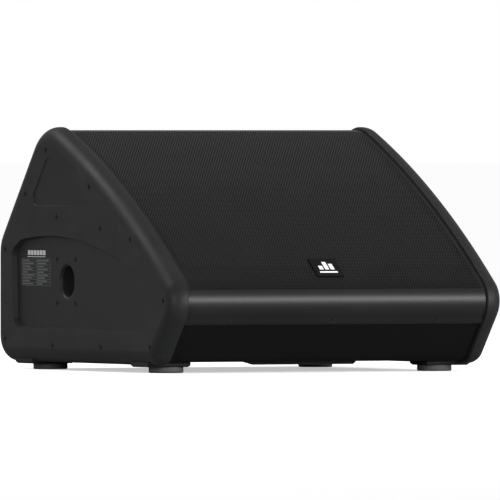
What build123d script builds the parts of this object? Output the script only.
from build123d import *
import math
import os

# Stage monitor wedge: a 15 inch coaxial, self-powered floor monitor.
# Millimetres. X runs across, Y from the nose (0) to the back, Z up from the floor. Every sub-part is
# drawn with the nose at Y = 0 and moved by ORIGIN_SHIFT on export, so the origin of the finished part
# is the middle of its footprint, on the floor.

# ---------------------------------------------------------------- driving dimensions
WIDTH = 586.0                 # over the two cheeks
CHEEK_T = 30.0                # thickness of one moulded cheek
CHEEK_EDGE_R = 24.0           # big rounding of the cheek's outer edge
CHEEK_LIP_R = 2.0             # small rounding of the cheek's inner edge
BUFFER_OUT = 4.0              # how far the rear buffers stand out behind the cheeks
BACK_Y = 653.0                # back of the cheeks
BASE_Z = 12.5                 # underside of the cheeks
CABINET_INSET = 6.5           # cabinet boards sit this far inside the cheek outline
CABINET_DROP = 1.7            # but less far above its underside
GRILLE_INSET = 5.0            # outer face of the grille sheet, inside the cheek outline
PLY = 15.0                    # cabinet boards
BAFFLE_T = 18.0
FOAM_T = 6.0
FIT = 0.3                     # plain clearance between pieces that only lie side by side
LOOSE = 0.1                   # radial clearance of a screw in its hole

HALF = WIDTH / 2
INNER = HALF - CHEEK_T        # inner face of a cheek, outer face of the cabinet
BOARD_X = INNER - PLY         # half length of the boards between the two cabinet sides
DEPTH = BACK_Y + BUFFER_OUT
ORIGIN_SHIFT = Location((0, -DEPTH / 2, 0))

# side outline: the five corners it would have if sharp, and the rounding of each
NOSE = (-19.2, 118.8)
PEAK = (485.8, 402.5)
SHOULDER = (BACK_Y, 206.7)
HEEL = (BACK_Y, BASE_Z)
TOE = (72.8, BASE_Z)
NOSE_R = 43.4
PEAK_R = 78.0
SHOULDER_R = 55.0
HEEL_R = 42.0
TOE_R = 30.0
FRONT_R = 1737.0              # the grille side is one long, slow curve

# baffle: a flat board behind the grille; u runs up the slope, n points out of it
SLOPE = math.radians(29.5)
U_DIR = (math.cos(SLOPE), math.sin(SLOPE))
N_DIR = (-math.sin(SLOPE), math.cos(SLOPE))
BAFFLE_FACE = 84.0            # distance of the board's front face from the origin, along n
DRIVER_U = 345.0              # centre of the driver, along u
PORT_U = 538.0
PORT_X = 195.0
PORT_R = 38.0
PORT_WALL = 3.0
PORT_LENGTH = 110.0

# 15 inch coaxial driver, in its own frame: z = 0 on the baffle's face, +z outwards
BASKET_R = 193.5
CUTOUT_R = 178.0
RIM_T = 6.0
BASKET_DEPTH = 85.0
LANDING_R = 72.0
MOTOR_R = 70.0
MOTOR_LENGTH = 45.0
COIL_R = 39.0
HORN_THROAT_R = 17.0
CONE_TRAVEL = 6.0
DRIVER_PCD_R = 185.0
DRIVER_SCREWS = 8

# cheek fittings and the two recesses in its side, as (Y, Z)
CHEEK_SCREWS = [(464, 351), (540, 281), (303, 293), (423, 244), (261, 227), (152, 210),
                (616, 192), (32, 115), (616, 48), (438, 39), (260, 39), (80, 41)]
SCREW_HEAD_R = 4.5
SCREW_HEAD_T = 3.0
SCREW_KEY_R = 2.5             # hexagon socket, over its corners
SCREW_SHANK_R = 2.5
SCREW_SINK = 0.8              # how deep a cheek screw's head lies below the surface
BOSS_R = 9.0
POCKET_FLOOR = 13.0           # thickness left under the cheek's face by the hollow behind it
POCKET_RIM = 13.0
PANEL_DEPTH = 8.5             # the lower recess is this deep at its rear end and runs out in front
PANEL_DRAFT = 18.0            # slant of its walls, in degrees
PANEL_RUN_OUT_Y = 92.0
PANEL_CROWN = [(560, 208), (436, 214.5), (277, 198.5), (PANEL_RUN_OUT_Y, 141)]
PANEL_LOW_Z = 67.0
PANEL_REAR = [(575, PANEL_LOW_Z), (587, 80), (593, 190)]
PANEL_CORNERS = (12.0, 12.0, 16.0)
CREST_DEPTH = 1.6             # the upper recess, shallow and with rounded corners
CREST_DRAFT = 40.0
CREST_RUN_OUT_Y = 306.0
CREST_OUTLINE = [(CREST_RUN_OUT_Y, 262), (CREST_RUN_OUT_Y, 275), (458, 344), (528, 262)]
CREST_APEX_R = 18.0
CREST_REAR_R = 12.0

# pole socket in the left cheek
POLE_Y = 397.0
POLE_Z = 142.0
POLE_BORE_R = 18.2
POLE_MOUTH_R = 24.5
POLE_MOUTH_DEPTH = 18.0       # the wide mouth of the cup, before its bore
POLE_RIM_R = 6.5              # rounding of the hole in the cheek
POLE_WALL = 3.6
POLE_DEPTH = 72.0             # length of the bore
POLE_SCREW_PITCH = 70.0
POLE_FLANGE = 88.0
POLE_FLANGE_T = 5.0

# feet
FOOT_X = 237.0
FOOT_Y = (138.0, 565.0)
FOOT_R = 27.5
FOOT_T = 9.4
FOOT_EDGE_R = 2.5
FOOT_SEAT = 6.0               # height of the step that its screw's head bears on
LUG_IN_X = 209.0              # the lug that carries a foot reaches in to here
LUG_OUT_X = 284.0
LUG_HALF_Y = 31.0
LUG_CHAMFER = 3.0

# recessed carrying handle in the bottom board: a dish whose flange is let in flush, with a raised front lip
HANDLE_LENGTH = 191.0
HANDLE_Y = (130.0, 278.0)
HANDLE_FLANGE = 5.0
HANDLE_CORNER_R = 14.0
HANDLE_SCREW_IN = 12.0        # its screws' distance from its front and rear edges
DISH_LENGTH = 150.0
DISH_Y = (168.0, 262.0)
DISH_DEPTH = 40.0
DISH_WALL = 3.0
DISH_CORNER_R = 12.0
LIP_DEPTH = 5.4               # how far the lip stands out under the box, at its front
LIP_RUN = 34.0                # it slopes back to nothing over this length
LIP_END = 6.0                 # slope at its two ends
GRIP_R = 10.5

# grille
GRILLE_T = CABINET_INSET - GRILLE_INSET
GRILLE_HEM_Z = 76.0           # lower edge of the plain band
GRILLE_REAR_Y = 505.0         # the sheet folds over the peak and ends here
BAND_SCREW_X = (-184.0, 0.0, 184.0)
BAND_SCREW_Z = 83.0
BADGE_SIZE = (46.0, 47.0)
BADGE_T = 2.0
BADGE_Y = 49.0

# amplifier tray in the back
TRAY_X = 195.0                # half width of the sunk part
TRAY_Z = (67.0, 175.0)
TRAY_LIP = 12.0               # flange around it
TRAY_FLOOR_Y = 636.0          # outer face of the sunk panel
SHEET = 2.0
CHASSIS_Y = 566.0
ROW_TOP = 148.0               # upper and lower row of fittings on the panel
ROW_LOW = 96.0
INPUT_X = 170.0
LEVEL_X = 128.0
OUTPUT_X = 86.0
DISPLAY_X = 36.0
MAINS_X = -26.0
SINK_X = (-186.0, -66.0)
KNOB_R = 9.0
KNOB_T = 11.0
SHAFT_R = 3.0
RUNNING = 0.05                # radial clearance of a turning shaft
BUTTON_SIZE = 9.0
BUTTON_OUT = 2.6
BUTTON_TRAVEL = 0.8
SIDE_GAP = 0.35               # clearance round a sliding button
JACK_FLANGE = (26.0, 31.0)
JACK_BARREL_R = 12.0
JACK_BORE_R = 9.2
JACK_DEPTH = 24.0
TAB_Z = 12.2                  # the latch tab sits this far above a socket's centre
TAB_SIZE = (7.0, 2.6)
TAB_TRAVEL = 1.2
JACK_SHELL = 16.0             # depth of the bore that a plug goes in
PIN_R = 1.1
PIN_CIRCLE_R = 5.4
DISPLAY_SIZE = (50.0, 26.0)
BUTTON_SPOTS = ((48.0, 108.0), (24.0, 108.0))
ROCKER_SIZE = (13.0, 20.0)
ROCKER_PIVOT = 2.0            # its pivot lies this far behind the panel's face
ROCKER_TILT = 8.0             # each way from the middle
INLET_SIZE = (24.0, 17.0)
LED_SPOTS = ((128.0, 122.0), (86.0, 122.0), (56.0, 128.0))
PANEL_HOLE = 9.0              # holes through the sunk panel are cut this deep from its face
FIN_COUNT = 13
FIN_T = 2.0
FIN_HEIGHT = 10.0

# two-core lead from the amplifier to the driver, inside the box
LEAD_R = 3.0
LEAD_ROUTE = [(60, CHASSIS_Y, 120), (60, 536, 120), (52, 500, 134), (36, 468, 160),
              (20, 440, 186), (12, 420, 203)]

CABINET_OUT = BACK_Y - CABINET_INSET
CABINET_BASE = BASE_Z + CABINET_INSET - CABINET_DROP

# where the band of boards round the box is divided, in side view
NOSE_SPLIT_Y = 58.0
NOSE_SPLIT_Z = 84.0
TOE_SPLIT_Y = 92.0
HEEL_SPLIT_Y = 606.0
REAR_SPLIT_Z = (56.0, 186.0)
SLOPE_SPLIT_Z = (228.0, 352.0)
PEAK_SPLIT_Y = 440.0
FAR = 800.0
BRACE_Y = 505.0
BRACE_TOP = 62.0

BUFFER_Z = (57.0, 172.0)
BUFFER_SIZE = (12.0, 9.0)
PEAK_SCREW_TILT = 28.0        # degrees past the peak, where the grille's fold is screwed down
PAN_HEAD_R = 4.2              # pan-head screws of the grille and the amplifier
PAN_HEAD_T = 1.8
PAN_SHANK_R = 2.0
PAN_LENGTH = 12.0
SMALL_SCREW_R = 2.0           # flat-head screws of the pole cup and the handle
SMALL_HEAD_R = 4.0
SMALL_HEAD_T = 2.5
FOOT_HEAD_R = 5.5             # pan head of a foot's screw, inside the foot
FOOT_SCREW_R = 2.5
FOOT_SCREW_GRIP = 12.0        # how far a foot's screw reaches into the bottom board
SMALL_SCREW_GRIP = 10.0
SCREW_SHORT = 2.0             # screws of cheek and pole cup end this far short of the cabinet side's inner face


# ---------------------------------------------------------------- helpers
def save(name, shape):
    """Write one sub-part in the finished part's frame, every solid carrying its own place."""
    solids = [Solid(solid.wrapped).moved(ORIGIN_SHIFT) for solid in shape.solids()]
    export_step(solids[0] if len(solids) == 1 else Compound(children=solids), f"parts/{name}.step")


def group(shapes):
    return Compound(children=list(shapes))


def span(x0, x1, y0, y1, z0, z1):
    """A block between two corners."""
    return Pos((x0 + x1) / 2, (y0 + y1) / 2, (z0 + z1) / 2) * Box(abs(x1 - x0), abs(y1 - y0), abs(z1 - z0))


def rod_x(radius, x0, x1, y, z):
    """A round bar along X."""
    return Pos((x0 + x1) / 2, y, z) * Rot(0, 90, 0) * Cylinder(radius, abs(x1 - x0))


def rod_y(radius, x, y0, y1, z):
    """A round bar along Y."""
    return Pos(x, (y0 + y1) / 2, z) * Rot(90, 0, 0) * Cylinder(radius, abs(y1 - y0))


def rod_z(radius, x, y, z0, z1):
    """A round bar along Z."""
    return Pos(x, y, (z0 + z1) / 2) * Cylinder(radius, abs(z1 - z0))


def side_outline(drop=0.0):
    """The wedge seen from the side: five rounded corners, the grille side one slow arc, its base dropped."""
    heel = (HEEL[0], HEEL[1] - drop)
    toe = (TOE[0] + drop * (TOE[0] - NOSE[0]) / (NOSE[1] - TOE[1]), TOE[1] - drop)
    edges = [RadiusArc(NOSE, PEAK, FRONT_R), Line(PEAK, SHOULDER), Line(SHOULDER, heel),
             Line(heel, toe), Line(toe, NOSE)]
    face = Plane.YZ * make_face(edges)
    corners = ((NOSE, NOSE_R), (PEAK, PEAK_R), (SHOULDER, SHOULDER_R), (heel, HEEL_R), (toe, TOE_R))
    for corner, radius in corners:
        point = Vector(0, *corner)
        vertex = face.vertices().sort_by_distance(point)[0]
        face = fillet(vertex, radius)
    return face


def inset(face, distance):
    return offset(face, amount=-distance)


def prism(face, x0, x1):
    """Extrude a side-view face from x0 to x1."""
    return Pos(x0, 0, 0) * extrude(face, amount=x1 - x0, dir=(1, 0, 0))


OUTLINE = side_outline()
BOX_OUTLINE = side_outline(CABINET_DROP)
CABINET_FACE = inset(BOX_OUTLINE, CABINET_INSET)
ROOM_FACE = inset(BOX_OUTLINE, CABINET_INSET + PLY)


def slope_point(u, n):
    """(Y, Z) of a point given along the baffle and out of it."""
    return (u * U_DIR[0] + n * N_DIR[0], u * U_DIR[1] + n * N_DIR[1])


def slope_plane(u, x=0.0, n=BAFFLE_FACE):
    """A plane on the baffle's face, its Z axis pointing out of the box."""
    y, z = slope_point(u, n)
    return Plane(origin=(x, y, z), x_dir=(1, 0, 0), z_dir=(0, N_DIR[0], N_DIR[1]))


def lathe(points):
    """Turn a closed outline of (radius, z) points round the Z axis."""
    return revolve(Plane.XZ * make_face(Polyline(*points, close=True)), axis=Axis.Z)


# ---------------------------------------------------------------- cabinet
def board(y0, y1, z0, z1, x=BOARD_X):
    """One piece of the band of wood that runs round the box, cut out by a window in side view."""
    ring = prism(CABINET_FACE, -x, x) - prism(ROOM_FACE, -x - 1, x + 1)
    return ring & span(-x, x, y0, y1, z0, z1)


def make_cabinet():
    nose = board(-1, NOSE_SPLIT_Y, NOSE_SPLIT_Z, FAR)
    front = board(-1, TOE_SPLIT_Y, 0, NOSE_SPLIT_Z)
    for x in BAND_SCREW_X:
        nose -= band_seat(x) * screw_hole()
        front -= band_seat(x) * screw_hole()
    save("nose_rail", nose)
    save("front_panel", front)
    bottom = board(TOE_SPLIT_Y, HEEL_SPLIT_Y, 0, 60)
    bottom -= span(-DISH_LENGTH / 2, DISH_LENGTH / 2, *DISH_Y, 0, 60)
    bottom -= handle_flange(0.0)
    bottom -= foot_fixings() + handle_fixings()
    save("bottom_panel", bottom)
    rear = board(HEEL_SPLIT_Y, FAR, REAR_SPLIT_Z[0], REAR_SPLIT_Z[1])
    rear -= span(-TRAY_X, TRAY_X, 600, 700, TRAY_Z[0], TRAY_Z[1])
    rear -= tray_fixings()
    save("rear_panel", rear)
    save("rear_rails", group([board(HEEL_SPLIT_Y, FAR, 0, REAR_SPLIT_Z[0]),
                              board(HEEL_SPLIT_Y, FAR, REAR_SPLIT_Z[1], SLOPE_SPLIT_Z[0])]))
    save("rear_slope_panel", board(500, FAR, SLOPE_SPLIT_Z[0], SLOPE_SPLIT_Z[1]))
    top = board(PEAK_SPLIT_Y, FAR, SLOPE_SPLIT_Z[1], FAR)
    for x in BAND_SCREW_X:
        top -= peak_seat(x) * screw_hole()
    save("top_rail", top)

    strip = Plane(origin=(0, 0, 0), x_dir=(1, 0, 0), z_dir=(0, N_DIR[0], N_DIR[1])).location
    slab = strip * span(-BOARD_X, BOARD_X, -FAR, FAR, BAFFLE_FACE - BAFFLE_T, BAFFLE_FACE)
    baffle = slab & prism(ROOM_FACE, -BOARD_X, BOARD_X)
    hole = slope_plane(DRIVER_U).location
    baffle -= hole * Cylinder(CUTOUT_R, 3 * BAFFLE_T)
    baffle -= hole * driver_screw_holes()
    for side in (-1, 1):
        baffle -= slope_plane(PORT_U, side * PORT_X).location * Cylinder(PORT_R + PORT_WALL, 3 * BAFFLE_T)
    save("baffle", baffle)

    for side, name in ((-1, "left"), (1, "right")):
        panel = prism(CABINET_FACE, side * BOARD_X, side * INNER)
        panel -= cheek_screw_holes(side)
        if side < 0:
            panel -= rod_x(POLE_MOUTH_R + POLE_WALL, -INNER - 1, -BOARD_X + 1, POLE_Y, POLE_Z)
            panel -= pole_screw_holes()
        save(f"side_panel_{name}", panel)

    room = prism(ROOM_FACE, -BOARD_X, BOARD_X)
    save("cabinet_brace", room & span(-BOARD_X, BOARD_X, BRACE_Y, BRACE_Y + PLY, 0, BRACE_TOP))


# ---------------------------------------------------------------- cheeks
def corner_fillet(face, corner, radius):
    """Round the corner of a side-view face that lies nearest to a given (Y, Z)."""
    return fillet(face.vertices().sort_by_distance(Vector(0, *corner))[0], radius)


def panel_outline():
    """The big lower recess in the cheek's side: flat below, an upright rear end, a long crown."""
    front, rear_low, rear_high = PANEL_CROWN[-1], PANEL_REAR[0], PANEL_REAR[-1]
    corner = (PANEL_RUN_OUT_Y, PANEL_LOW_Z)
    edges = [Spline(*PANEL_CROWN), Line(front, corner), Line(corner, rear_low),
             Polyline(*PANEL_REAR), Line(rear_high, PANEL_CROWN[0])]
    face = Plane.YZ * make_face(edges)
    for spot, radius in zip(PANEL_REAR, PANEL_CORNERS):
        face = corner_fillet(face, spot, radius)
    return face


def crest_outline():
    """The shallow upper recess, a triangle that follows the peak."""
    face = Plane.YZ * make_face(Polyline(*CREST_OUTLINE, close=True))
    face = corner_fillet(face, CREST_OUTLINE[2], CREST_APEX_R)
    return corner_fillet(face, CREST_OUTLINE[3], CREST_REAR_R)


def tapered_recess(face, side, run_out_y, deep_y, depth, draft):
    """A recess with slanted walls; its floor sinks from nothing at run_out_y to depth at deep_y."""
    above = 0.5
    skin = extrude(Pos(side * (HALF + above), 0, 0) * face, amount=depth + 2, dir=(-side, 0, 0), taper=draft)
    outside = side * (HALF + 2 * above)
    deep_x = side * (HALF - depth)
    floor = make_face(Polyline((side * HALF, run_out_y), (deep_x, deep_y), (deep_x, FAR),
                               (outside, FAR), (outside, run_out_y), close=True))
    return skin & extrude(floor, amount=FAR)


def panel_floor_x(y):
    """How far the lower recess's floor lies from the middle at a given Y."""
    return HALF - PANEL_DEPTH * (y - PANEL_RUN_OUT_Y) / (PANEL_REAR[-1][0] - PANEL_RUN_OUT_Y)


def cheek_screw(side, y, z):
    """A recessed screw through the cheek into the cabinet side, with a hexagon key socket."""
    head_x = side * (HALF - SCREW_SINK)
    neck_x = head_x - side * SCREW_HEAD_T
    head = rod_x(SCREW_HEAD_R, head_x, neck_x, y, z)
    socket = Pos(head_x, y, z) * Rot(0, 90, 0) * extrude(RegularPolygon(SCREW_KEY_R, 6), amount=2, both=True)
    shank = rod_x(SCREW_SHANK_R, neck_x, side * (BOARD_X + SCREW_SHORT), y, z)
    return head - socket + shank


def cheek_screw_holes(side):
    end_x = side * (BOARD_X + SCREW_SHORT - LOOSE)
    return group([rod_x(SCREW_SHANK_R + LOOSE, side * HALF, end_x, y, z) for y, z in CHEEK_SCREWS])


def foot_lug(side, y):
    """The moulded lug under the box that carries one foot; its ends slope up."""
    top = CABINET_BASE
    x_in = side * LUG_IN_X
    x_out = side * LUG_OUT_X
    lug = span(x_in, x_out, y - LUG_HALF_Y, y + LUG_HALF_Y, FOOT_T, top)
    edges = lug.edges().filter_by(GeomType.LINE).group_by(Axis.Z)[0]
    return chamfer(edges, LUG_CHAMFER)


def make_cheek(side):
    cheek = prism(OUTLINE, side * INNER, side * HALF)
    outer = cheek.faces().sort_by(Axis.X)[-1 if side > 0 else 0]
    cheek = fillet(outer.edges(), CHEEK_EDGE_R)
    inner = cheek.faces().sort_by(Axis.X)[0 if side > 0 else -1]
    cheek = fillet(inner.edges(), CHEEK_LIP_R)
    for y in FOOT_Y:
        cheek += foot_lug(side, y)
    pocket = prism(inset(OUTLINE, CABINET_INSET + POCKET_RIM), side * INNER, side * (HALF - POCKET_FLOOR))
    for y, z in CHEEK_SCREWS:
        pocket -= rod_x(BOSS_R, side * (INNER - 1), side * HALF, y, z)
    cheek -= pocket
    panel_end = PANEL_REAR[-1][0]
    crest_end = CREST_OUTLINE[-1][0]
    cheek -= tapered_recess(panel_outline(), side, PANEL_RUN_OUT_Y, panel_end, PANEL_DEPTH, PANEL_DRAFT)
    cheek -= tapered_recess(crest_outline(), side, CREST_RUN_OUT_Y, crest_end, CREST_DEPTH, CREST_DRAFT)
    neck = HALF - SCREW_SINK - SCREW_HEAD_T
    for y, z in CHEEK_SCREWS:
        cheek -= rod_x(SCREW_HEAD_R + FIT, side * neck, side * (HALF + 1), y, z)
        cheek -= rod_x(SCREW_SHANK_R + LOOSE, side * (INNER - 1), side * HALF, y, z)
    cheek -= foot_fixings()
    for pad in cheek_buffers(side):
        cheek -= pad
    return cheek


def pole_screw_spots():
    half = POLE_SCREW_PITCH / 2
    return [(POLE_Y + sy * half, POLE_Z + sz * half) for sy in (-1, 1) for sz in (-1, 1)]


def pole_screw_group():
    """Four screws round the pole socket, their heads just under the panel floor."""
    screws = []
    for y, z in pole_screw_spots():
        head_x = -(panel_floor_x(y) - 1.0)
        neck_x = head_x + SMALL_HEAD_T
        head = rod_x(SMALL_HEAD_R, head_x, neck_x, y, z)
        key = Pos(head_x, y, z) * Rot(0, 90, 0) * extrude(RegularPolygon(2.0, 6), amount=1.5, both=True)
        screws.append(head - key + rod_x(SMALL_SCREW_R, neck_x, -BOARD_X - SCREW_SHORT, y, z))
    return group(screws)


def pole_mouth():
    """The hole in the cheek in front of the pole socket, with a rounded rim."""
    bend = POLE_RIM_R * (1 - math.sqrt(0.5))
    lip = POLE_MOUTH_R + POLE_RIM_R
    edges = [Line((0, -POCKET_FLOOR), (POLE_MOUTH_R, -POCKET_FLOOR)),
             Line((POLE_MOUTH_R, -POCKET_FLOOR), (POLE_MOUTH_R, -POLE_RIM_R)),
             ThreePointArc((POLE_MOUTH_R, -POLE_RIM_R), (POLE_MOUTH_R + bend, -bend), (lip, 0)),
             Line((lip, 0), (lip, POCKET_FLOOR)), Line((lip, POCKET_FLOOR), (0, POCKET_FLOOR)),
             Line((0, POCKET_FLOOR), (0, -POCKET_FLOOR))]
    flare = revolve(Plane.XZ * make_face(edges), axis=Axis.Z)
    seat = Plane(origin=(-panel_floor_x(POLE_Y), POLE_Y, POLE_Z), x_dir=(0, 1, 0), z_dir=(-1, 0, 0))
    return seat.location * flare


def pole_screw_holes():
    end_x = -BOARD_X - SCREW_SHORT + LOOSE
    return group([rod_x(SMALL_SCREW_R + LOOSE, -HALF, end_x, y, z) for y, z in pole_screw_spots()])


def make_cheeks():
    left = make_cheek(-1)
    left -= pole_mouth()
    left -= pole_screw_holes()
    for y, z in pole_screw_spots():
        left -= rod_x(SMALL_HEAD_R + FIT, -HALF, -panel_floor_x(y) + SMALL_HEAD_T + 1, y, z)
    save("cheek_left", left)
    save("cheek_right", make_cheek(1))
    save("cheek_screws", group([cheek_screw(side, y, z) for side in (-1, 1) for y, z in CHEEK_SCREWS]))

    save("pole_cup_screws", pole_screw_group())


def make_pole_cup():
    """A flanged cup behind the cheek: a wide mouth, then the bore that takes the pole."""
    face_x = -(HALF - POCKET_FLOOR)
    bore_x = face_x + POLE_MOUTH_DEPTH
    end_x = bore_x + POLE_DEPTH
    half = POLE_FLANGE / 2
    cup = span(face_x, face_x + POLE_FLANGE_T, POLE_Y - half, POLE_Y + half, POLE_Z - half, POLE_Z + half)
    cup = fillet(cup.edges().filter_by(Axis.X), 10)
    cup += rod_x(POLE_MOUTH_R + POLE_WALL, face_x, bore_x + POLE_WALL, POLE_Y, POLE_Z)
    cup += rod_x(POLE_BORE_R + POLE_WALL, face_x, end_x + POLE_WALL, POLE_Y, POLE_Z)
    cup -= rod_x(POLE_MOUTH_R, face_x - 1, bore_x, POLE_Y, POLE_Z)
    cup -= rod_x(POLE_BORE_R, face_x - 1, end_x, POLE_Y, POLE_Z)
    cup -= pole_screw_holes()
    save("pole_cup", cup)


def cheek_buffers(side):
    """The two small rubber buffers on the back edge of a cheek."""
    x = side * (HALF - CHEEK_EDGE_R + 3)
    width, height = BUFFER_SIZE
    pads = [span(x - width / 2, x + width / 2, BACK_Y - 2, DEPTH, z - height / 2, z + height / 2)
            for z in BUFFER_Z]
    return [fillet(pad.faces().sort_by(Axis.Y)[-1].edges(), 2.5) for pad in pads]


# ---------------------------------------------------------------- feet and handle
def foot_spots():
    return [(side * FOOT_X, y) for side in (-1, 1) for y in FOOT_Y]


def foot_screw(x, y):
    """Pan head inside the foot, shank up through the lug into the bottom board."""
    end = CABINET_BASE + FOOT_SCREW_GRIP
    return rod_z(FOOT_HEAD_R, x, y, FOOT_SEAT - 3, FOOT_SEAT) + rod_z(FOOT_SCREW_R, x, y, FOOT_SEAT, end)


def foot_fixings():
    end = CABINET_BASE + FOOT_SCREW_GRIP + LOOSE
    return group([rod_z(FOOT_SCREW_R + LOOSE, x, y, 0, end) for x, y in foot_spots()])


def make_feet():
    for side, hand in ((-1, "left"), (1, "right")):
        for y, place in zip(FOOT_Y, ("front", "rear")):
            x = side * FOOT_X
            foot = rod_z(FOOT_R, x, y, 0, FOOT_T)
            foot = fillet(foot.edges().sort_by(Axis.Z)[0], FOOT_EDGE_R)
            foot -= rod_z(FOOT_HEAD_R + 1, x, y, -1, FOOT_SEAT)
            foot -= rod_z(FOOT_SCREW_R + LOOSE, x, y, 0, FOOT_T + 1)
            save(f"foot_{place}_{hand}", foot)


def handle_screw_spots():
    dx = (HANDLE_LENGTH + DISH_LENGTH) / 4
    rows = (HANDLE_Y[0] + HANDLE_SCREW_IN, HANDLE_Y[1] - HANDLE_SCREW_IN)
    return [(side * dx, y) for side in (-1, 1) for y in rows]


def handle_fixings():
    end = CABINET_BASE + SMALL_SCREW_GRIP + LOOSE
    return group([rod_z(SMALL_SCREW_R + LOOSE, x, y, 0, end) for x, y in handle_screw_spots()])


def handle_flange(gap):
    """The flange's block, let into the underside of the bottom board, smaller all round by a gap."""
    half = HANDLE_LENGTH / 2 - gap
    top = CABINET_BASE + HANDLE_FLANGE
    block = span(-half, half, HANDLE_Y[0] + gap, HANDLE_Y[1] - gap, CABINET_BASE, top)
    return fillet(block.edges().filter_by(Axis.Z), HANDLE_CORNER_R)


def handle_lip():
    """The raised lip in front of the dish: deepest in front, sloping back to nothing, its ends slanted."""
    half = HANDLE_LENGTH / 2 - FIT
    y0 = HANDLE_Y[0] + FIT
    low = CABINET_BASE - LIP_DEPTH
    side = Polyline((y0, CABINET_BASE), (y0, low), (y0 + LIP_RUN, CABINET_BASE), close=True)
    wedge = prism(Plane.YZ * make_face(side), -half, half)
    front = Polyline((-half, CABINET_BASE), (LIP_END - half, low), (half - LIP_END, low),
                     (half, CABINET_BASE), close=True)
    front_face = Pos(0, y0 - 1, 0) * (Plane.XZ * make_face(front))
    return wedge & extrude(front_face, amount=LIP_RUN + 2, dir=(0, 1, 0))


def make_handle():
    top = CABINET_BASE + DISH_DEPTH
    reach = DISH_LENGTH / 2 - FIT
    y0, y1 = DISH_Y[0] + FIT, DISH_Y[1] - FIT
    body = span(-reach, reach, y0, y1, CABINET_BASE, top)
    body = fillet(body.edges().filter_by(Axis.Z), DISH_CORNER_R)
    reach -= DISH_WALL
    hollow = span(-reach, reach, y0 + DISH_WALL, y1 - DISH_WALL, CABINET_BASE - 1, top - DISH_WALL)
    hollow = fillet(hollow.edges().filter_by(Axis.Z), DISH_CORNER_R - DISH_WALL)
    dish = handle_flange(FIT) + handle_lip() + body - hollow
    seat = CABINET_BASE + SMALL_HEAD_T
    for x, y in handle_screw_spots():
        dish -= rod_z(SMALL_HEAD_R + FIT, x, y, 0, seat)
    dish -= handle_fixings()
    save("handle_dish", dish)
    save("handle_grip", rod_x(GRIP_R, -reach, reach, sum(DISH_Y) / 2, CABINET_BASE + GRIP_R + 1))
    end = CABINET_BASE + SMALL_SCREW_GRIP
    dish_screws = [rod_z(SMALL_HEAD_R, x, y, CABINET_BASE, seat) + rod_z(SMALL_SCREW_R, x, y, seat, end)
                   for x, y in handle_screw_spots()]
    save("base_screws", group(dish_screws + [foot_screw(x, y) for x, y in foot_spots()]))


# ---------------------------------------------------------------- grille and badge
def grille_sheet():
    width = INNER - FIT
    sheet = prism(inset(OUTLINE, GRILLE_INSET), -width, width) - prism(CABINET_FACE, -width - 1, width + 1)
    return sheet & span(-width, width, -1, GRILLE_REAR_Y, GRILLE_HEM_Z, FAR)


LOWER_FACE = math.atan2(NOSE[1] - TOE[1], TOE[0] - NOSE[0])     # slant of the lower front, from the floor
LOWER_NORMAL = (-math.sin(LOWER_FACE), -math.cos(LOWER_FACE))


def lower_point(z, depth):
    """(Y, Z) on the slanted lower front at height z, depth mm inside the cheek outline."""
    y = NOSE[0] + (NOSE[1] - z) / math.tan(LOWER_FACE)
    return (y - depth * LOWER_NORMAL[0], z - depth * LOWER_NORMAL[1])


def band_seat(x):
    """Where a screw sits on the plain band, square to it."""
    y, z = lower_point(BAND_SCREW_Z - GRILLE_INSET * math.cos(LOWER_FACE), GRILLE_INSET)
    return Plane(origin=(x, y, z), x_dir=(1, 0, 0), z_dir=(0, LOWER_NORMAL[0], LOWER_NORMAL[1])).location


def front_arc():
    """Centre of the long arc of the grille side, in side view."""
    chord = (PEAK[0] - NOSE[0], PEAK[1] - NOSE[1])
    length = math.hypot(*chord)
    rise = math.sqrt(FRONT_R ** 2 - (length / 2) ** 2)
    middle = ((NOSE[0] + PEAK[0]) / 2, (NOSE[1] + PEAK[1]) / 2)
    return (middle[0] + rise * chord[1] / length, middle[1] - rise * chord[0] / length)


def front_plane(y, depth):
    """A plane touching the grille side at Y, depth mm inside the cheek outline, Z axis outwards."""
    centre = front_arc()
    reach = FRONT_R - depth
    normal_y = (y - centre[0]) / reach
    normal_z = math.sqrt(1 - normal_y ** 2)
    return Plane(origin=(0, y, centre[1] + reach * normal_z), x_dir=(1, 0, 0), z_dir=(0, normal_y, normal_z))


def peak_centre():
    """Centre of the rounding at the peak, in side view: PEAK_R inside the arc and the rear slope."""
    arc = front_arc()
    slant = math.atan2(PEAK[1] - SHOULDER[1], SHOULDER[0] - PEAK[0])
    out = (math.sin(slant), math.cos(slant))
    start = (PEAK[0] - PEAK_R * out[0] - arc[0], PEAK[1] - PEAK_R * out[1] - arc[1])
    along = (math.cos(slant), -math.sin(slant))
    reach = FRONT_R - PEAK_R
    half = start[0] * along[0] + start[1] * along[1]
    step = -half - math.sqrt(half ** 2 - start[0] ** 2 - start[1] ** 2 + reach ** 2)
    other = -half + math.sqrt(half ** 2 - start[0] ** 2 - start[1] ** 2 + reach ** 2)
    step = step if abs(step) < abs(other) else other
    return (arc[0] + start[0] + step * along[0], arc[1] + start[1] + step * along[1])


def pan_screw():
    """A pan-head screw standing on the XY plane, its shank going down."""
    socket = Pos(0, 0, PAN_HEAD_T) * extrude(RegularPolygon(2.0, 6), amount=1.2, both=True)
    head = Pos(0, 0, PAN_HEAD_T / 2) * Cylinder(PAN_HEAD_R, PAN_HEAD_T) - socket
    return head + rod_z(PAN_SHANK_R, 0, 0, -PAN_LENGTH, 0)


def screw_hole():
    """The hole that a pan-head screw's shank goes down."""
    return rod_z(PAN_SHANK_R + LOOSE, 0, 0, -PAN_LENGTH - LOOSE, 1)


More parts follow.
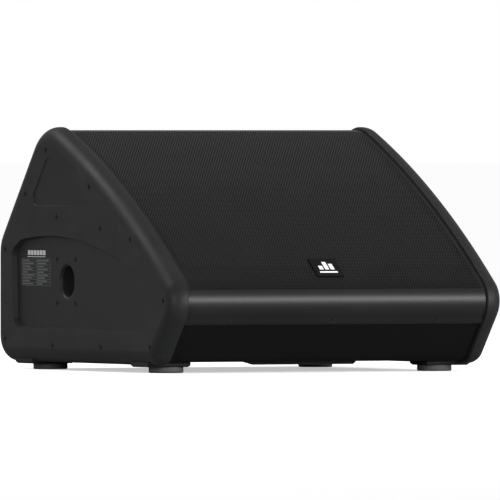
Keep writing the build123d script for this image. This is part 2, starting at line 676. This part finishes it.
def peak_seat(x):
    """Where a screw sits on the grille's fold, just behind the peak."""
    tilt = math.radians(PEAK_SCREW_TILT)
    centre = peak_centre()
    reach = PEAK_R - GRILLE_INSET
    spot = (x, centre[0] + reach * math.sin(tilt), centre[1] + reach * math.cos(tilt))
    return Plane(origin=spot, x_dir=(1, 0, 0), z_dir=(0, math.sin(tilt), math.cos(tilt))).location


def make_grille():
    seats = [band_seat(x) for x in BAND_SCREW_X] + [peak_seat(x) for x in BAND_SCREW_X]
    sheet = grille_sheet()
    for seat in seats:
        sheet -= seat * screw_hole()
    save("grille", sheet)
    save("grille_screws", group([seat * pan_screw() for seat in seats]))
    foam_x = BOARD_X - 2
    back = inset(OUTLINE, CABINET_INSET + FOAM_T)
    foam = prism(CABINET_FACE, -foam_x, foam_x) - prism(back, -foam_x - 1, foam_x + 1)
    foam = foam & span(-foam_x, foam_x, NOSE_SPLIT_Y + FIT, PEAK_SPLIT_Y - FIT, NOSE_SPLIT_Z + 40, FAR)
    save("grille_foam", foam)
    plate = Pos(0, 0, BADGE_T / 2 + 0.2) * Box(*BADGE_SIZE, BADGE_T)
    plate = fillet(plate.edges().filter_by(Axis.Z), 2.0)
    save("badge", front_plane(BADGE_Y, GRILLE_INSET).location * plate)


# ---------------------------------------------------------------- driver, in its own frame
def driver_screw_spots():
    angles = [2 * math.pi * (k + 0.5) / DRIVER_SCREWS for k in range(DRIVER_SCREWS)]
    return [(DRIVER_PCD_R * math.cos(a), DRIVER_PCD_R * math.sin(a)) for a in angles]


def driver_screw_group():
    """The bolts of the basket's rim."""
    return group([rod_z(5.0, x, y, RIM_T, RIM_T + 4) + rod_z(2.5, x, y, RIM_T, -BAFFLE_T + 4)
                  for x, y in driver_screw_spots()])


def driver_screw_holes():
    end = -BAFFLE_T + 4 - LOOSE
    return group([rod_z(2.5 + LOOSE, x, y, RIM_T + 1, end) for x, y in driver_screw_spots()])


def make_driver():
    place = slope_plane(DRIVER_U).location
    land = -BASKET_DEPTH
    base = land - 5
    tail = base - MOTOR_LENGTH
    coil_out = COIL_R + 1
    basket = lathe([(170, RIM_T), (BASKET_R, RIM_T), (BASKET_R, 0), (CUTOUT_R - 1, 0),
                    (LANDING_R + 4, land + 2), (LANDING_R + 4, base), (COIL_R + 7, base),
                    (COIL_R + 7, land), (LANDING_R, land), (LANDING_R, land + 4), (170, 0)])
    for k in range(6):
        basket -= Rot(0, 0, 60 * k) * Pos(122, 0, -42) * Box(78, 74, 46)
    basket -= driver_screw_holes()
    save("driver_basket", place * basket)
    save("driver_screws", place * driver_screw_group())

    pole = coil_out - 2.5
    gap_out = coil_out + 1.5
    motor = lathe([(HORN_THROAT_R, base + 2), (pole, base + 2), (pole, base - 28), (gap_out, base - 28),
                   (gap_out, base), (MOTOR_R, base), (MOTOR_R, tail), (HORN_THROAT_R, tail)])
    save("driver_magnet", place * motor)
    back = lathe([(0, tail - 42), (40, tail - 42), (46, tail - 36), (46, tail - 5), (38, tail), (0, tail)])
    save("hf_driver", place * back)
    throat = HORN_THROAT_R - FIT
    horn = lathe([(throat, tail), (throat, base + 2), (34, -60), (50, -37), (48, -36), (31.5, -60),
                  (throat - 2.5, base + 2), (throat - 2.5, tail)])
    save("hf_horn", place * horn)

    front = [ThreePointArc((coil_out, -60), (97, -22), (150, RIM_T)), Line((150, RIM_T), (157, RIM_T)),
             Line((157, RIM_T), (157, RIM_T - 2)), Line((157, RIM_T - 2), (151, RIM_T - 2)),
             ThreePointArc((151, RIM_T - 2), (98.5, -24.8), (coil_out, -64)),
             Line((coil_out, -64), (coil_out, -60))]
    save("driver_cone", place * revolve(Plane.XZ * make_face(front), axis=Axis.Z))
    coil = lathe([(COIL_R, -58), (coil_out, -58), (coil_out, base - 16), (COIL_R, base - 16)])
    save("voice_coil", place * coil)
    top = RIM_T + 1.5
    roll = [Line((150, RIM_T), (157.5, RIM_T)),
            ThreePointArc((157.5, RIM_T), (166.5, RIM_T + 8), (175.5, RIM_T)),
            Polyline((175.5, RIM_T), (180, RIM_T), (180, top), (176.5, top)),
            ThreePointArc((176.5, top), (166.5, RIM_T + 9.5), (156.5, top)),
            Polyline((156.5, top), (150, top), (150, RIM_T))]
    save("driver_surround", place * revolve(Plane.XZ * make_face(roll), axis=Axis.Z))
    spider = lathe([(coil_out, -71), (LANDING_R - 1, -71), (LANDING_R - 1, land + 4),
                    (LANDING_R - 5, land + 4), (LANDING_R - 5, -72.5), (coil_out, -72.5)])
    save("driver_spider", place * spider)


def make_ports():
    tube = lathe([(PORT_R, -PORT_LENGTH), (PORT_R + PORT_WALL, -PORT_LENGTH), (PORT_R + PORT_WALL, 0),
                  (PORT_R + 10, 0), (PORT_R + 10, 2), (PORT_R + 3, 4), (PORT_R, 4)])
    save("port_tubes", group([slope_plane(PORT_U, side * PORT_X).location * tube for side in (-1, 1)]))


# ---------------------------------------------------------------- amplifier in the back
def panel_slab(x, z, width, height, y0, y1):
    """A rectangular block centred on a spot of the sunk panel."""
    return span(x - width / 2, x + width / 2, y0, y1, z - height / 2, z + height / 2)


def tray_seats():
    """Where the screws sit on the tray's flange, pointing into the back board."""
    x_out = TRAY_X + TRAY_LIP / 2
    heights = (TRAY_Z[0], sum(TRAY_Z) / 2, TRAY_Z[1])
    return [Pos(side * x_out, CABINET_OUT + SHEET, z) * Rot(-90, 0, 0) for side in (-1, 1) for z in heights]


def tray_fixings():
    return group([seat * screw_hole() for seat in tray_seats()])


def jack_shell(x, z):
    """A square flange with a round barrel behind it, bored for a plug."""
    face = TRAY_FLOOR_Y
    jack = panel_slab(x, z, *JACK_FLANGE, face, face + 2)
    jack += rod_y(JACK_BARREL_R, x, face - JACK_DEPTH, face, z)
    return jack - rod_y(JACK_BORE_R, x, face - JACK_SHELL, face + 3, z)


def input_jack(x, z):
    """A panel socket with a slot for its latch tab."""
    face = TRAY_FLOOR_Y
    tab_w = TAB_SIZE[0] + 2 * SIDE_GAP
    tab_h = TAB_SIZE[1] + 2 * SIDE_GAP
    return jack_shell(x, z) - panel_slab(x, z + TAB_Z, tab_w, tab_h, face - TAB_TRAVEL - 1, face + 3)


def latch_tab(x, z):
    return panel_slab(x, z + TAB_Z, *TAB_SIZE, TRAY_FLOOR_Y, TRAY_FLOOR_Y + 3.6)


def output_jack(x, z):
    """A panel plug with three pins in a round shroud."""
    face = TRAY_FLOOR_Y
    jack = jack_shell(x, z)
    for k in range(3):
        angle = math.radians(90 + 120 * k)
        pin_x = x + PIN_CIRCLE_R * math.cos(angle)
        jack += rod_y(PIN_R, pin_x, face - JACK_SHELL - 1, face - 3, z + PIN_CIRCLE_R * math.sin(angle))
    return jack


def mains_inlet():
    face = TRAY_FLOOR_Y
    inlet = panel_slab(MAINS_X, ROW_LOW, INLET_SIZE[0] + 8, INLET_SIZE[1] + 10, face, face + 2)
    inlet += panel_slab(MAINS_X, ROW_LOW, INLET_SIZE[0] + 4, INLET_SIZE[1] + 4, face - 20, face)
    inlet -= panel_slab(MAINS_X, ROW_LOW, *INLET_SIZE, face - 16, face + 3)
    for dx, dz in ((-7, -2.5), (7, -2.5), (0, 3.5)):
        inlet += panel_slab(MAINS_X + dx, ROW_LOW + dz, 2.0, 4.0, face - 17, face - 5)
    return inlet


def turning_knob(x, z, shaft_r):
    """A round knob with a pointer ridge; its shaft runs back through the panel."""
    y0 = TRAY_FLOOR_Y + 0.5
    cap = rod_y(KNOB_R, x, y0, y0 + KNOB_T, z)
    cap = fillet(cap.edges().sort_by(Axis.Y)[-1], 1.2)
    cap += panel_slab(x, z + KNOB_R / 2, 1.4, KNOB_R - 1.5, y0 + KNOB_T - 1, y0 + KNOB_T + 0.6)
    return cap + rod_y(shaft_r, x, TRAY_FLOOR_Y - 12, y0, z)


def encoder_knob():
    """A knob that turns on a push shaft."""
    y0 = TRAY_FLOOR_Y + 2.0
    cap = rod_y(KNOB_R, OUTPUT_X, y0, y0 + KNOB_T, ROW_TOP)
    cap = fillet(cap.edges().sort_by(Axis.Y)[-1], 1.2)
    return cap - rod_y(SHAFT_R + RUNNING, OUTPUT_X, y0 - 1, y0 + KNOB_T - 2, ROW_TOP)


def encoder_shaft():
    y0 = TRAY_FLOOR_Y
    return rod_y(SHAFT_R, OUTPUT_X, y0 - 12, y0 + KNOB_T - 0.3, ROW_TOP)


def push_button(x, z):
    cap = panel_slab(x, z, BUTTON_SIZE, BUTTON_SIZE, TRAY_FLOOR_Y - 5, TRAY_FLOOR_Y + BUTTON_OUT)
    return fillet(cap.faces().sort_by(Axis.Y)[-1].edges(), 0.8)


def rocker_frame():
    face = TRAY_FLOOR_Y
    frame = panel_slab(MAINS_X, ROW_TOP, ROCKER_SIZE[0] + 5, ROCKER_SIZE[1] + 6, face, face + 1.8)
    frame += panel_slab(MAINS_X, ROW_TOP, ROCKER_SIZE[0] + 3, ROCKER_SIZE[1] + 3, face - 14, face)
    return frame - panel_slab(MAINS_X, ROW_TOP, *ROCKER_SIZE, face - 12, face + 3)


def power_rocker():
    """A rocker with two sloping faces on a pivot across its middle; it rests switched off, lower half in."""
    half = ROCKER_SIZE[1] / 2 - 0.9
    side = Polyline((-4, 2.2 - half), (3.2, -half), (4.2, 0), (3.2, half), (-4, half - 2.2), close=True)
    wide = ROCKER_SIZE[0] / 2 - SIDE_GAP
    cap = Pos(-wide, 0, 0) * extrude(Plane.YZ * make_face(side), amount=2 * wide, dir=(1, 0, 0))
    return Pos(MAINS_X, TRAY_FLOOR_Y - ROCKER_PIVOT, ROW_TOP) * Rot(-ROCKER_TILT, 0, 0) * cap


def heatsink():
    """An extruded block with upright fins, let into the panel."""
    face = TRAY_FLOOR_Y
    x0, x1 = SINK_X
    z0, z1 = TRAY_Z[0] + 7, TRAY_Z[1] - 7
    sink = span(x0, x1, face, face + 2.5, z0, z1)
    step = (x1 - x0 - 1.2 * FIN_T) / (FIN_COUNT - 1)
    for k in range(FIN_COUNT):
        x = x0 + 0.6 * FIN_T + k * step
        sink += span(x - FIN_T / 2, x + FIN_T / 2, face + 2, face + 2 + FIN_HEIGHT, z0, z1)
    return sink


def amp_board():
    """Circuit board on posts, with capacitors, a transformer and power devices."""
    y0 = CHASSIS_Y + 12
    board_y = y0 + 1.6
    x = TRAY_X - 20
    pcb = span(-x, x, y0, board_y, TRAY_Z[0] + 12, TRAY_Z[1] - 12)
    for px in (-x + 8, x - 8):
        for pz in (TRAY_Z[0] + 18, TRAY_Z[1] - 18):
            pcb += rod_y(3, px, CHASSIS_Y + SHEET, y0, pz)
    for k in range(4):
        pcb += rod_y(9, -60 + 24 * k, board_y, board_y + 26, 150)
    pcb += span(-150, -104, board_y, board_y + 30, 92, 134)
    for k in range(5):
        pcb += span(-80 + 18 * k, -70 + 18 * k, board_y, board_y + 16, 84, 100)
    return pcb


def make_amplifier():
    face = TRAY_FLOOR_Y
    inner_x = TRAY_X - FIT
    z0, z1 = TRAY_Z[0] + FIT, TRAY_Z[1] - FIT
    lip_z = TRAY_LIP - 3
    behind = face - PANEL_HOLE
    tray = span(-inner_x, inner_x, face - SHEET, CABINET_OUT, z0, z1)
    lip_x = TRAY_X + TRAY_LIP
    tray += span(-lip_x, lip_x, CABINET_OUT, CABINET_OUT + SHEET, z0 - lip_z, z1 + lip_z)
    tray -= span(-inner_x + SHEET, inner_x - SHEET, face, FAR, z0 + SHEET, z1 - SHEET)
    for z in (ROW_TOP, ROW_LOW):
        tray -= rod_y(JACK_BARREL_R, INPUT_X, behind, face + 1, z)
        tray -= rod_y(SHAFT_R + RUNNING, LEVEL_X, behind, face + 1, z)
        tray -= panel_slab(INPUT_X, z + TAB_Z, TAB_SIZE[0] + 1, TAB_SIZE[1] + 1, behind, face + 1)
    tray -= rod_y(JACK_BARREL_R, OUTPUT_X, behind, face + 1, ROW_LOW)
    tray -= rod_y(SHAFT_R + RUNNING, OUTPUT_X, behind, face + 1, ROW_TOP)
    tray -= panel_slab(MAINS_X, ROW_LOW, INLET_SIZE[0] + 4, INLET_SIZE[1] + 4, behind, face + 1)
    tray -= panel_slab(MAINS_X, ROW_TOP, ROCKER_SIZE[0] + 3, ROCKER_SIZE[1] + 3, behind, face + 1)
    for x, z in BUTTON_SPOTS:
        tray -= panel_slab(x, z, BUTTON_SIZE + 2 * SIDE_GAP, BUTTON_SIZE + 2 * SIDE_GAP, behind, face + 1)
    for x, z in LED_SPOTS:
        tray -= rod_y(1.5, x, behind, face + 1, z)
    tray -= tray_fixings()
    save("amp_panel", tray)
    save("amp_screws", group([seat * pan_screw() for seat in tray_seats()]))

    for name, z in (("a", ROW_TOP), ("b", ROW_LOW)):
        save(f"input_jack_{name}", input_jack(INPUT_X, z))
        save(f"latch_tab_{name}", latch_tab(INPUT_X, z))
        save(f"level_knob_{name}", turning_knob(LEVEL_X, z, SHAFT_R))
    save("output_jack", output_jack(OUTPUT_X, ROW_LOW))
    save("encoder_knob", encoder_knob())
    save("encoder_shaft", encoder_shaft())
    for name, (x, z) in zip(("left", "right"), BUTTON_SPOTS):
        save(f"menu_button_{name}", push_button(x, z))
    display = panel_slab(DISPLAY_X, ROW_TOP, *DISPLAY_SIZE, face, face + 1.5)
    save("display_window", chamfer(display.faces().sort_by(Axis.Y)[-1].edges(), 0.8))
    save("mains_inlet", mains_inlet())
    save("rocker_frame", rocker_frame())
    save("power_rocker", power_rocker())
    save("amp_heatsink", heatsink())
    save("status_lights", group([rod_y(1.5, x, face - SHEET, face + 0.8, z) for x, z in LED_SPOTS]))
    x = TRAY_X - 8
    case = span(-x, x, CHASSIS_Y, face - SHEET, TRAY_Z[0] + 4, TRAY_Z[1] - 4)
    case -= span(-x + SHEET, x - SHEET, CHASSIS_Y + SHEET, face, TRAY_Z[0] + 4 + SHEET, TRAY_Z[1] - 4 - SHEET)
    save("amp_chassis", case)
    save("amp_board", amp_board())


# ---------------------------------------------------------------- speaker lead


def make_lead():
    """The two-core lead from the amplifier to the driver's magnet side, held between the two."""
    points = [Vector(*p) for p in LEAD_ROUTE]
    radii = []
    for before, corner, after in zip(points, points[1:], points[2:]):
        shorter = min((corner - before).length, (after - corner).length)
        turn = math.radians((corner - before).get_angle(after - corner))
        radii.append(0.45 * shorter / math.tan(turn / 2))
    print("lead radii", [round(r) for r in radii])
    path = FilletPolyline(*points, radius=radii)
    section = Plane(origin=path @ 0, z_dir=path % 0) * Circle(LEAD_R)
    tube = sweep(section, path=path)
    straight = math.pi * LEAD_R ** 2 * path.length
    print("lead length", round(path.length), "volume ratio", round(tube.volume / straight, 4))
    save("driver_lead", tube)


def main():
    os.makedirs("parts", exist_ok=True)
    make_cabinet()
    make_cheeks()
    make_pole_cup()
    save("rear_buffers", group(cheek_buffers(-1) + cheek_buffers(1)))
    make_feet()
    make_handle()
    make_grille()
    make_driver()
    make_ports()
    make_amplifier()
    make_lead()


if __name__ == "__main__":
    main()
